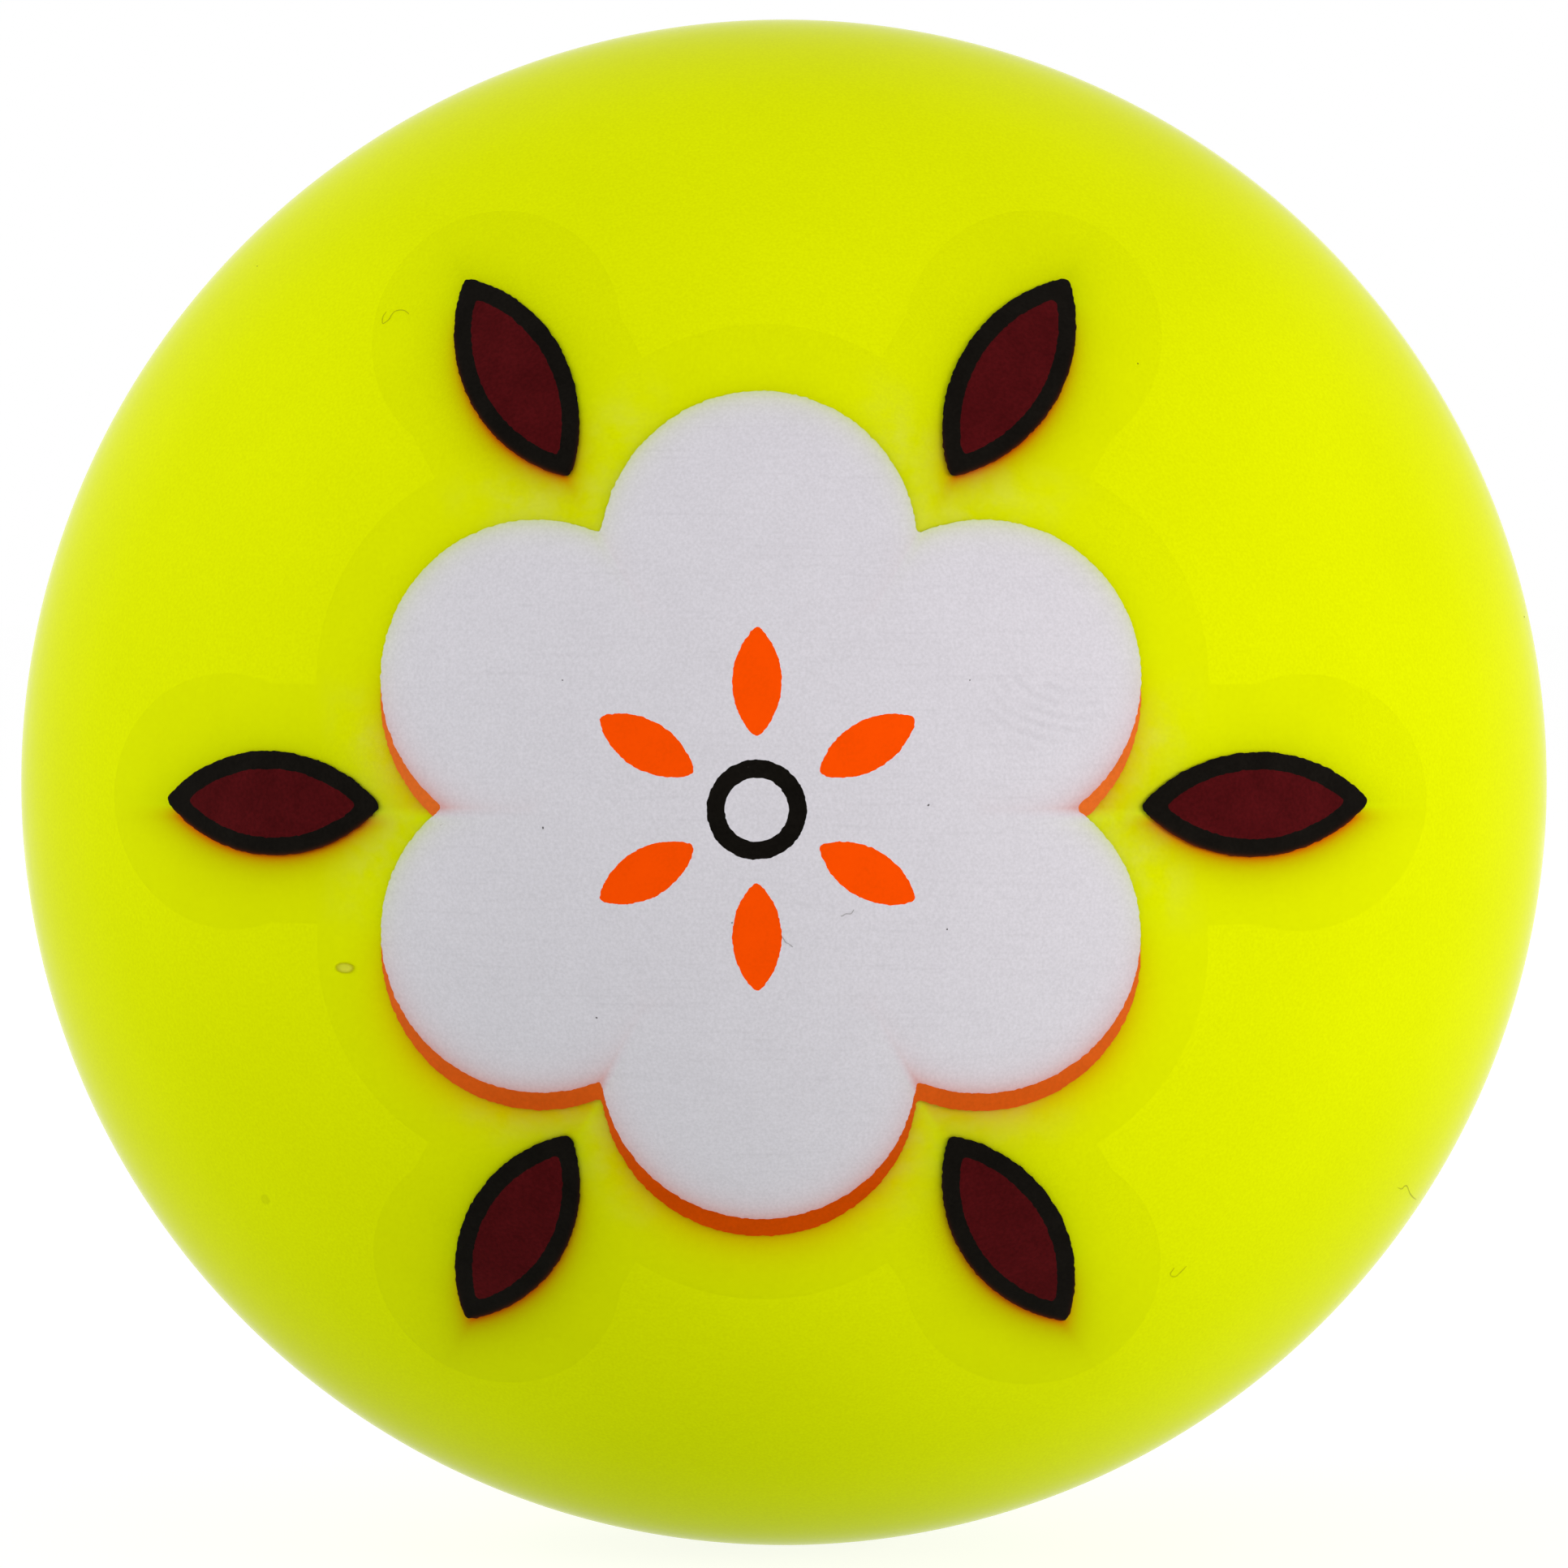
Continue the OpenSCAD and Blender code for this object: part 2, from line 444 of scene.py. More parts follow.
class Drawing:
    """The flat design in millimetres, worked out once from the print settings."""

    def __init__(self, p):
        self.count = p.count
        self.lobe_r, self.lobe_ring_r, self.drop = p.lobe_r / MM, p.lobe_ring_r / MM, p.drop / MM
        self.leaf_l, self.leaf_w, self.line_w = p.leaf_l / MM, p.leaf_w / MM, p.line_w / MM
        self.ring_d, self.petal_l, self.petal_w = p.ring_d / MM, p.petal_l / MM, p.petal_w / MM
        self.margin = p.margin / MM
        half = math.pi / self.count
        self.notch_r = max(self.lobe_ring_r, self.lobe_ring_r * math.cos(half) + math.sqrt(
            max(0.0, self.lobe_r ** 2 - (self.lobe_ring_r * math.sin(half)) ** 2)))
        self.leaf_ring_r = self.notch_r + p.leaf_gap / MM + self.leaf_l / 2
        self.petal_ring_r = self.ring_d / 2 + p.petal_gap / MM + self.petal_l / 2
        self.turns = [math.tau * i / self.count for i in range(self.count)]

    def scallops(self, grow=0.0, drop=0.0):
        """Circles whose union is the lobed field, grown, and dropped down the ball."""
        middles = [turned([(0, self.lobe_ring_r)], a)[0] for a in self.turns]
        centre = circle(0, -drop, self.lobe_ring_r + grow)
        return [centre] + [circle(x, z - drop, self.lobe_r + grow) for x, z in middles]

    def field(self):
        """Outline of the white field."""
        return softened(outline_of(self.scallops(), lambda held: True))

    def film(self):
        """Outline of the film: the lobed field with its margin, and a round-ended arm under each leaf."""
        half = math.pi / self.count
        tip, side = (d / 2 + self.line_w + self.margin for d in (self.leaf_l, self.leaf_w))
        end_r = (tip ** 2 + side ** 2) / (2 * tip)
        end_ring_r = self.leaf_ring_r + tip - end_r
        arm = [(side, 0.0), (side, end_ring_r), (-side, end_ring_r), (-side, 0.0)]
        shapes = self.scallops(self.margin) + self.scallops(self.margin, self.drop)
        for a in self.turns:
            shapes += [turned(arm, a + half), turned(circle(0, 0, end_r), a + half, end_ring_r)]
        return outline_of(shapes, lambda held: True)


def lay(part, name, drawing, ring_r, half_step, radius, ragged, finish):
    """Puts a flat part through the print tree. ring_r is in millimetres, the radius in metres."""
    p = settings()[1]
    obj = part.object(name)
    run_tree(obj, shared_tree("Laid on the ball", print_tree), {
        "Count": drawing.count, "Ring Radius": ring_r * MM, "Half Step": half_step, "Ball Radius": radius,
        "Ragged": p.ragged if ragged else 0.0, "Ragged Size": p.ragged_size, "Seed": p.seed,
        "Material": finish})
    return obj


def print_ink(name, slot, node, drawing, slabs, ring_r, half_step, finish):
    """Prints one ink on the film and keeps it. A slab is (points, corners, stays)."""
    part = FlatPart()
    for points, corners, stays in slabs:
        part.add(points, corners, INK_R - FILM_R + LIFT, stays)
    keep(lay(part, name, drawing, ring_r, half_step, FILM_R - LIFT, True, finish), slot, node)


def shared_tree(name, maker):
    """A node tree by name, made the first time it is asked for."""
    return bpy.data.node_groups.get(name) or maker()


# Materials


def new_material(name):
    """An empty node material, its tree, and the place on the object as a socket."""
    material = bpy.data.materials.new(name)
    material.use_nodes = True
    tree = material.node_tree
    tree.nodes.clear()
    return material, tree, add_node(tree, "ShaderNodeTexCoord").outputs["Object"]


def distance_group():
    """Shader group: millimetres from the outlines of the white field and the leaves, below zero inside.

    The place is folded into one step of the pattern, so one lobe circle and one leaf side answer for all
    of them. The ball's bare back half counts as far from both.
    """
    d = Drawing(settings()[1])
    tree, start, end = new_tree("Print distances", "ShaderNodeTree", {
        "INPUT": [("Vector", "NodeSocketVector")],
        "OUTPUT": [("Field", "NodeSocketFloat"), ("Leaf", "NodeSocketFloat")]})
    flat = add_node(tree, "ShaderNodeVectorMath", {0: start, 1: (1 / MM, 0, 1 / MM)}, operation="MULTIPLY")
    out = add_node(tree, "ShaderNodeVectorMath", {0: flat}, operation="LENGTH").outputs["Value"]
    xyz = add_node(tree, "ShaderNodeSeparateXYZ", {0: flat})
    angle = add_node(tree, "ShaderNodeMath", {0: xyz.outputs["X"], 1: xyz.outputs["Z"]}, operation="ARCTAN2")
    half = math.pi / d.count
    to_lobe = add_node(tree, "ShaderNodeMath", {0: angle, 1: half}, operation="PINGPONG")
    to_leaf = add_node(tree, "ShaderNodeMath", {0: half, 1: to_lobe}, operation="SUBTRACT")
    side_r = (d.leaf_l ** 2 + d.leaf_w ** 2) / (4 * d.leaf_w)
    found = []
    for folded, ring_r, shift, radius in ((to_lobe, d.lobe_ring_r, 0.0, d.lobe_r),
                                          (to_leaf, d.leaf_ring_r, side_r - d.leaf_w / 2, side_r)):
        sine = add_node(tree, "ShaderNodeMath", {0: folded}, operation="SINE")
        cosine = add_node(tree, "ShaderNodeMath", {0: folded}, operation="COSINE")
        across = add_node(tree, "ShaderNodeMath", {0: sine, 1: out, 2: shift}, operation="MULTIPLY_ADD")
        along = add_node(tree, "ShaderNodeMath", {0: cosine, 1: out, 2: -ring_r}, operation="MULTIPLY_ADD")
        both = add_node(tree, "ShaderNodeCombineXYZ", {0: across, 1: along})
        away = add_node(tree, "ShaderNodeVectorMath", {0: both}, operation="LENGTH").outputs["Value"]
        found.append(add_node(tree, "ShaderNodeMath", {0: away, 1: radius}, operation="SUBTRACT"))
    centre = add_node(tree, "ShaderNodeMath", {0: out, 1: d.lobe_ring_r}, operation="SUBTRACT")
    field = add_node(tree, "ShaderNodeMath", {0: centre, 1: found[0]}, operation="MINIMUM")
    depth = add_node(tree, "ShaderNodeSeparateXYZ", {0: start})
    far, fade_y = 200.0, -9 * MM
    behind = add_node(tree, "ShaderNodeMapRange", {0: depth.outputs["Y"], 1: fade_y, 2: 0.0, 3: 0.0, 4: far})
    for name, near in (("Field", field), ("Leaf", found[1])):
        away = add_node(tree, "ShaderNodeMath", {0: near, 1: behind}, operation="ADD")
        tree.links.new(away.outputs[0], end.inputs[name])
    return tree


def sees_backdrop(tree):
    """1 for camera, mirrored and transmitted rays, which see the backdrop white, and 0 for lighting rays."""
    path = add_node(tree, "ShaderNodeLightPath").outputs
    seen = path["Is Camera Ray"]
    for ray in ("Is Glossy Ray", "Is Transmission Ray"):
        seen = add_node(tree, "ShaderNodeMath", {0: seen, 1: path[ray]}, operation="MAXIMUM")
    return seen


def mottled(tree, place, colour_now, patches):
    """Multiplies a colour by soft noise. A patch is (size in mm, darkest, lightest)."""
    low, high = 0.28, 0.72  # nearly all of the noise lies between these
    for size, dark, light in patches:
        noise = add_node(tree, "ShaderNodeTexNoise",
                         {"Vector": place, "Scale": 1 / (size * MM), "Detail": 2.0})
        level = add_node(tree, "ShaderNodeMapRange", {0: noise, 1: low, 2: high, 3: dark, 4: light})
        grey = add_node(tree, "ShaderNodeCombineColor", {i: level for i in range(3)})
        colour_now = add_node(tree, "ShaderNodeMix", {0: 1.0, 6: colour_now, 7: grey},
                              data_type="RGBA", blend_type="MULTIPLY").outputs[2]
    return colour_now


def edge_tinted(tree, place, colour_now, tints):
    """Mixes tints into this colour beside a printed edge, falling off as exp(-distance / reach). On the bare
    yellow most tints are painted shade and painted glow, standing in for the light that the print keeps out
    of the translucent plastic or throws into it; on an ink they change its colour towards its edges.

    A tint is (outline, millimetres out from it, reach in mm, share at the edge, colour, side). Side 1 is
    the lower edges alone, -1 the upper ones alone, and 0 all round. "Low field" is the field's outline
    dropped by its orange edge.
    """
    drop = settings()[1].drop
    raised = add_node(tree, "ShaderNodeVectorMath", {0: place, 1: (0, 0, drop)}, operation="ADD")
    group = shared_tree("Print distances", distance_group)
    here, there = (add_node(tree, "ShaderNodeGroup", {0: at}, node_tree=group) for at in (place, raised))
    for outline, out, reach, share, tint, side in tints:
        name = outline.replace("Low field", "Field")
        edge = (there if outline == "Low field" else here).outputs[name]
        away = add_node(tree, "ShaderNodeMath", {0: edge, 1: out}, operation="SUBTRACT")
        size = add_node(tree, "ShaderNodeMath", {0: away}, operation="ABSOLUTE")
        power = add_node(tree, "ShaderNodeMath", {0: size, 1: -1 / reach}, operation="MULTIPLY")
        fade = add_node(tree, "ShaderNodeMath", {0: power}, operation="EXPONENT")
        part = add_node(tree, "ShaderNodeMath", {0: fade, 1: share}, operation="MULTIPLY")
        if side:
            # Below a printed shape its outline lies further out once it is dropped
            lower = add_node(tree, "ShaderNodeMath", {0: here.outputs[name], 1: there.outputs[name]},
                             operation="SUBTRACT")
            near = add_node(tree, "ShaderNodeMapRange",
                            {0: lower, 1: -0.2 * side * drop / MM, 2: 0.7 * side * drop / MM})
            part = add_node(tree, "ShaderNodeMath", {0: part, 1: near}, operation="MULTIPLY")
        colour_now = add_node(tree, "ShaderNodeMix", {0: part, 6: colour_now, 7: (*linear(tint), 1)},
                              data_type="RGBA").outputs[2]
    return colour_now


def plastic_yellow():
    """Moulded plastic of the ball, PVC or polyurethane full of pigment, as a polished mould leaves it.

    The eye sees a saturated greenish yellow with slow tone waves from the melt and a fine grain. Beside the
    print the yellow carries painted shade and painted glow: the darkening and reddening that light scattered
    in the translucent plastic would show there. Its index is far under the real 1.5, so that the skin has no
    white veil face on and pales only in a thin rim.
    """
    ball, p, _, _ = settings()
    line = p.line_w / MM
    material, tree, place = new_material("Moulded_yellow_plastic")
    # Melt waves are some 14 mm long, and the grain, 0.13 mm, is about as fine as the picture can show
    colour_now = mottled(tree, place, (*ball.yellow, 1), ((14, 0.98, 1.02), (0.13, 0.96, 1.04)))
    # Painted shade and painted glow: the yellow darkens round the field and the leaves, and reddens below the
    # orange edge and below the leaves, as scattered light would make it beside the print. The narrow orange
    # line right under each leaf is print.
    colour_now = edge_tinted(tree, place, colour_now, (
        ("Field", 0.0, 0.5, 0.12, "#000000", 0), ("Low field", 0.0, 0.75, 0.5, "#D01000", 1),
        ("Leaf", line, 0.9, 0.2, "#285800", 0), ("Leaf", line, 0.9, 0.36, "#8A0800", 1),
        ("Leaf", line, 0.3, 0.98, "#D05000", 1)))
    # The stain is drawn out towards the back, which makes it round as the camera sees it
    drawn_out, stain, stain_share = Vector((1, 0.45, 1)), "#7C8A10", 0.15
    middle = seen_at(STAIN_PIXEL, BALL_R) * drawn_out
    shallow = add_node(tree, "ShaderNodeVectorMath", {0: place, 1: drawn_out}, operation="MULTIPLY")
    away = add_node(tree, "ShaderNodeVectorMath", {0: shallow, 1: middle}, operation="DISTANCE")
    stained = add_node(tree, "ShaderNodeMapRange", {
        0: away.outputs["Value"], 1: 1.15 * STAIN_R, 2: 0.85 * STAIN_R, 3: 0.0, 4: stain_share})
    colour_now = add_node(tree, "ShaderNodeMix", {0: stained, 6: colour_now, 7: (*linear(stain), 1)},
                          data_type="RGBA").outputs[2]
    shader = add_node(tree, "ShaderNodeBsdfPrincipled", {
        "Base Color": colour_now, "Roughness": 0.15, "IOR": 1.032})
    add_node(tree, "ShaderNodeOutputMaterial", {0: shader})
    return material


def film_clear():
    """Clear transfer film with its adhesive, pressed on warm: seen only as a slightly darker, duller tone.

    In the narrow places between a leaf and the field the adhesive has gone milky in broken clouds.
    """
    inks = settings()[2]
    material, tree, place = new_material("Clear_transfer_film")
    # Adhesive is uneven over some 3 mm
    patches = add_node(tree, "ShaderNodeTexNoise", {"Vector": place, "Scale": 1 / (3 * MM), "Detail": 2.0})
    alpha = add_node(tree, "ShaderNodeMapRange", {0: patches, 1: 0.3, 2: 0.7, 3: 0.03, 4: 0.05})
    group = shared_tree("Print distances", distance_group)
    near = add_node(tree, "ShaderNodeGroup", {0: place}, node_tree=group)
    # Distances in mm at which the clouds begin and are full, and their size across
    shares = [add_node(tree, "ShaderNodeMapRange", {0: near.outputs[name], 1: begin, 2: full})
              for name, begin, full in (("Field", 3.2, 1.0), ("Leaf", 5.2, 2.6))]
    cloud_size, cloud_alpha = 1.5 * MM, 0.055
    broken = add_node(tree, "ShaderNodeTexNoise",
                      {"Vector": place, "Scale": 1 / cloud_size, "Detail": 6.0, "Roughness": 0.65})
    cloud = add_node(tree, "ShaderNodeMapRange", {0: broken, 1: 0.36, 2: 0.62})
    for share in shares:
        cloud = add_node(tree, "ShaderNodeMath", {0: cloud, 1: share}, operation="MULTIPLY")
    alpha = add_node(tree, "ShaderNodeMath", {0: cloud, 1: cloud_alpha, 2: alpha}, operation="MULTIPLY_ADD")
    tone = add_node(tree, "ShaderNodeMix", {0: cloud, 6: (*inks.film, 1), 7: (*inks.cloud, 1)},
                    data_type="RGBA")
    shader = add_node(tree, "ShaderNodeBsdfPrincipled", {
        "Base Color": tone.outputs[2], "Roughness": 0.45, "IOR": 1.05, "Alpha": alpha})
    add_node(tree, "ShaderNodeOutputMaterial", {0: shader})
    return material


def ink(name, base, patches, tints=(), handled=False, thin=None):
    """Screen-printed ink, matt and dense, with a soft mottle and the tints that bleed in at its edges.

    A handled one has the faint ridges of a finger mark and fine slanting rub marks. One given a colour as
    thin turns to it higher up the ball, which is painted light: the upper parts are drawn lighter as if more
    light fell on them.
    """
    material, tree, place = new_material(name)
    colour_now = (*base, 1)
    # Painted light: higher up the ball the colour turns to the lighter one, as if more light fell there.
    if thin:
        full_z, lit_z = -17 * MM, -5 * MM
        height = add_node(tree, "ShaderNodeSeparateXYZ", {0: place})
        level = add_node(tree, "ShaderNodeMapRange", {0: height.outputs["Z"], 1: full_z, 2: lit_z})
        colour_now = add_node(tree, "ShaderNodeMix", {0: level, 6: colour_now, 7: (*thin, 1)},
                              data_type="RGBA").outputs[2]
    colour_now = mottled(tree, place, colour_now, patches)
    if handled:
        colour_now = rubbed(tree, place, colour_now)
    if tints:
        colour_now = edge_tinted(tree, place, colour_now, tints)
    shader = add_node(tree, "ShaderNodeBsdfPrincipled",
                      {"Base Color": colour_now, "Roughness": 0.48, "IOR": 1.05})
    add_node(tree, "ShaderNodeOutputMaterial", {0: shader})
    return material


def rubbed(tree, place, colour_now):
    """A finger mark, ridges 0.55 mm apart in an oval patch, and slanting rub marks some 0.2 mm wide."""
    patch, half_x, half_z = (12.4, 0, 4.2), 3.0, 2.3
    whorl, whorl_narrow, ridge = (13.9, 0, 7.0), 0.85, 0.55
    ridge_share, rub_share, grease = 0.08, 0.06, "#6E6A70"
    slant, rub_long, rub_wide = math.radians(38), 5 * MM, 0.2 * MM
    moved, centred = (add_node(tree, "ShaderNodeMapping", {
        "Vector": place, "Location": [-v * MM for v in middle]}) for middle in (patch, whorl))
    oval = add_node(tree, "ShaderNodeVectorMath", {0: moved, 1: (1 / (half_x * MM), 0, 1 / (half_z * MM))},
                    operation="MULTIPLY")
    away = add_node(tree, "ShaderNodeVectorMath", {0: oval}, operation="LENGTH")
    patchy = add_node(tree, "ShaderNodeTexNoise", {"Vector": place, "Scale": 1 / (1.2 * MM)})
    inside = add_node(tree, "ShaderNodeMapRange", {0: away.outputs["Value"], 1: 1.0, 2: 0.6, 3: 0.0, 4: 1.0})
    broken = add_node(tree, "ShaderNodeMapRange", {0: patchy, 1: 0.36, 2: 0.56})
    flat = add_node(tree, "ShaderNodeVectorMath", {0: centred, 1: (whorl_narrow / MM, 0, 1 / MM)},
                    operation="MULTIPLY")
    # A ring wave repeats every tau / 20 at scale 1
    ridges = add_node(tree, "ShaderNodeTexWave", {
        "Vector": flat, "Scale": math.tau / 20 / ridge, "Distortion": 2.2, "Detail": 1.0,
        "Detail Scale": 0.8}, wave_type="RINGS", rings_direction="SPHERICAL")
    print_now = inside
    for factor in (broken, ridges.outputs["Fac"], ridge_share):
        print_now = add_node(tree, "ShaderNodeMath", {0: print_now, 1: factor}, operation="MULTIPLY")
    # Rub marks are noise drawn out along the slant
    slanted = add_node(tree, "ShaderNodeMapping", {
        "Vector": place, "Rotation": (0, slant, 0), "Scale": (1 / rub_long, 1, 1 / rub_wide)})
    rubs = add_node(tree, "ShaderNodeTexNoise", {"Vector": slanted, "Scale": 1.0, "Detail": 1.0})
    rub_now = add_node(tree, "ShaderNodeMapRange", {0: rubs, 1: 0.56, 2: 0.8, 3: 0.0, 4: rub_share})
    dark = add_node(tree, "ShaderNodeMath", {0: print_now, 1: rub_now}, operation="ADD", use_clamp=True)
    return add_node(tree, "ShaderNodeMix", {0: dark, 6: colour_now, 7: (*linear(grease), 1)},
                    data_type="RGBA").outputs[2]


def fibre(name, code, alpha):
    """Lint or dust that clings to the ball or the print: dull, and paler where it is thin."""
    material, tree, place = new_material(name)
    thin = add_node(tree, "ShaderNodeTexNoise", {"Vector": place, "Scale": 1 / (0.4 * MM)})
    seen = add_node(tree, "ShaderNodeMapRange", {0: thin, 1: 0.3, 2: 0.7, 3: alpha * 0.7, 4: alpha})
    shader = add_node(tree, "ShaderNodeBsdfPrincipled", {
        "Base Color": (*linear(code), 1), "Roughness": 0.8, "IOR": 1.05, "Alpha": seen})
    add_node(tree, "ShaderNodeOutputMaterial", {0: shader})
    return material


def trapped_air(x, z, half_x, half_z):
    """Air blister under the film: a dark rim of painted shade round a paler middle that is a painted
    highlight. Sizes in mm, flat.
    """
    material, tree, place = new_material("Film_over_trapped_air")
    moved = add_node(tree, "ShaderNodeMapping", {
        "Vector": place, "Location": (-x / half_x, 0, -z / half_z),
        "Scale": (1 / (half_x * MM), 0, 1 / (half_z * MM))})
    away = add_node(tree, "ShaderNodeVectorMath", {0: moved}, operation="LENGTH")
    # Painted highlight in the pale middle and painted shade at the darker rim.
    ramp = add_node(tree, "ShaderNodeValToRGB", {0: away.outputs["Value"]})
    stops = ramp.color_ramp.elements
    stops[0].position, stops[0].color = 0.45, (*linear("#FFE88A"), 0.1)
    stops[1].position, stops[1].color = 1.0, (*linear("#B4B410"), 0.02)
    stops.new(0.8).color = (*linear("#A08804"), 0.22)
    shader = add_node(tree, "ShaderNodeBsdfPrincipled", {
        "Base Color": ramp.outputs["Color"], "Alpha": ramp.outputs["Alpha"], "Roughness": 0.3, "IOR": 1.1})
    add_node(tree, "ShaderNodeOutputMaterial", {0: shader})
    return material


def matt_card():
    """Matt white card on a light table. It is seen lit to white, and keeps the ball's shadow.

    Towards the ball it is a soft light from below, a little stronger on the right.
    """
    stage = settings()[3]
    material, tree, place = new_material("Matt_white_card")
    # How much of the light each card gives back: as it lights the ball, and as the camera sees it
    lighting_card, seen_card, seen_glow = 0.2, 0.26, 0.83
    dim_x, bright_x = -10 * MM, 60 * MM
    xyz = add_node(tree, "ShaderNodeSeparateXYZ", {0: place})
    level = add_node(tree, "ShaderNodeMapRange",
                     {0: xyz.outputs["X"], 1: dim_x, 2: bright_x, 3: stage.glow, 4: stage.glow_right})
    card = add_node(tree, "ShaderNodeBsdfDiffuse", {"Color": (*[lighting_card] * 3, 1)})
    glow = add_node(tree, "ShaderNodeEmission", {"Color": (0.96, 1.0, 0.98, 1), "Strength": level})
    pale = add_node(tree, "ShaderNodeAddShader", {0: card, 1: glow})
    shaded = add_node(tree, "ShaderNodeBsdfDiffuse", {"Color": (*[seen_card] * 3, 1)})
    white = add_node(tree, "ShaderNodeEmission", {"Color": (1, 1, 1, 1), "Strength": seen_glow})
    lit = add_node(tree, "ShaderNodeAddShader", {0: shaded, 1: white})
    both = add_node(tree, "ShaderNodeMixShader", {0: sees_backdrop(tree), 1: pale, 2: lit})
    add_node(tree, "ShaderNodeOutputMaterial", {0: both})
    return material


# Operators


def direction(azimuth, elevation):
    """Unit vector from the ball's middle, with azimuth 0 towards -Y and turning towards +X."""
    level = math.cos(elevation)
    return Vector((math.sin(azimuth) * level, -math.cos(azimuth) * level, math.sin(elevation)))


class HOCKEY_OT_stage(bpy.types.Operator):
    """Sets up the camera, the floor, the white backdrop and the soft studio light"""
    bl_idname = "hockey.stage"
    bl_label = "Stage"

    # Soft boxes: name, degrees round from the front towards +X, degrees up, side in mm, watts and colour
    LAMPS = (
        ("Side_right", 70, 0, 400, 3.0, "#FFEFEC"),
        ("Fill_right", 45, 12, 400, 0.5, "#FFEFEC"),
        ("Side_left", -90, 20, 480, 1.35, "#FFF7F2"),
        ("Fill_left", -50, 18, 450, 0.7, "#FFF7F2"),
        ("Back", 178, 8, 450, 1.4, "#FFF7F2"),
    )
    LAMP_DISTANCE = 700 * MM

    def execute(self, context):
        stage = settings()[3]
        scene = context.scene
        scene.view_settings.view_transform = "Standard"
        camera_data = bpy.data.cameras.new("Camera")
        camera_data.sensor_width, camera_data.lens = 36.0, stage.lens
        camera_data.clip_start, camera_data.clip_end = 0.01, 20.0
        camera = bpy.data.objects.new("Camera", camera_data)
        scene.collection.objects.link(camera)
        camera.location = direction(stage.azimuth, stage.elevation) * stage.distance
        camera.rotation_mode = "QUATERNION"
        camera.rotation_quaternion = (Vector(AIM) - camera.location).to_track_quat("-Z", "Y")
        scene.camera = camera

        half, floor_z = 3.0, -settings()[0].diameter / 2
        mesh = bpy.data.meshes.new("Floor")
        corners = [(x * half, y * half, floor_z) for x, y in ((-1, -1), (1, -1), (1, 1), (-1, 1))]
        mesh.from_pydata(corners, [], [(0, 1, 2, 3)])
        mesh.materials.append(matt_card())
        new_object("Floor", mesh)

        world = bpy.data.worlds.new("Room")
        scene.world = world
        world.use_nodes = True
        tree = world.node_tree
        tree.nodes.clear()
        soft = add_node(tree, "ShaderNodeBackground", {"Color": (1, 1, 1, 1), "Strength": stage.sky})
        white = add_node(tree, "ShaderNodeBackground", {"Color": (1, 1, 1, 1), "Strength": 1.0})
        both = add_node(tree, "ShaderNodeMixShader", {0: sees_backdrop(tree), 1: soft, 2: white})
        add_node(tree, "ShaderNodeOutputWorld", {0: both})

        for name, round_deg, up_deg, side, power, code in self.LAMPS:
            lamp = bpy.data.lights.new(name, "AREA")
            lamp.shape, lamp.size, lamp.energy, lamp.color = "SQUARE", side * MM, power, linear(code)
            obj = bpy.data.objects.new(name, lamp)
            obj.location = direction(math.radians(round_deg), math.radians(up_deg)) * self.LAMP_DISTANCE
            obj.rotation_mode = "QUATERNION"
            obj.rotation_quaternion = (-obj.location).to_track_quat("-Z", "Y")
            # The plastic's thin rim mirrors the white room alone
            obj.visible_camera = obj.visible_glossy = False
            scene.collection.objects.link(obj)
        return {"FINISHED"}


class HOCKEY_OT_ball(bpy.types.Operator):
    """Builds the moulded ball"""
    bl_idname = "hockey.ball"
    bl_label = "Ball"

    def execute(self, context):
        ball = settings()[0]
        obj = new_object("Ball", bpy.data.meshes.new("Ball"))
        run_tree(obj, ball_tree(),
                 {"Radius": ball.diameter / 2, "Divisions": ball.divisions + 1, "Material": plastic_yellow()})
        keep(obj, "ball_plastic", "ball")
        return {"FINISHED"}


class HOCKEY_OT_film(bpy.types.Operator):
    """Lays the clear transfer film on the ball"""
    bl_idname = "hockey.film"
    bl_label = "Transfer Film"

    def execute(self, context):
        drawing = Drawing(settings()[1])
        points, found = triangles([drawing.film()], FILL_STEP)
        part = FlatPart()
        part.add(points, [corners for corners, _ in found], FILM_R - BALL_R + LIFT, True)
        obj = lay(part, "Transfer_film", drawing, 0, 0, BALL_R - LIFT, False, film_clear())
        keep(obj, "clear_film", "transfer_film")
        return {"FINISHED"}


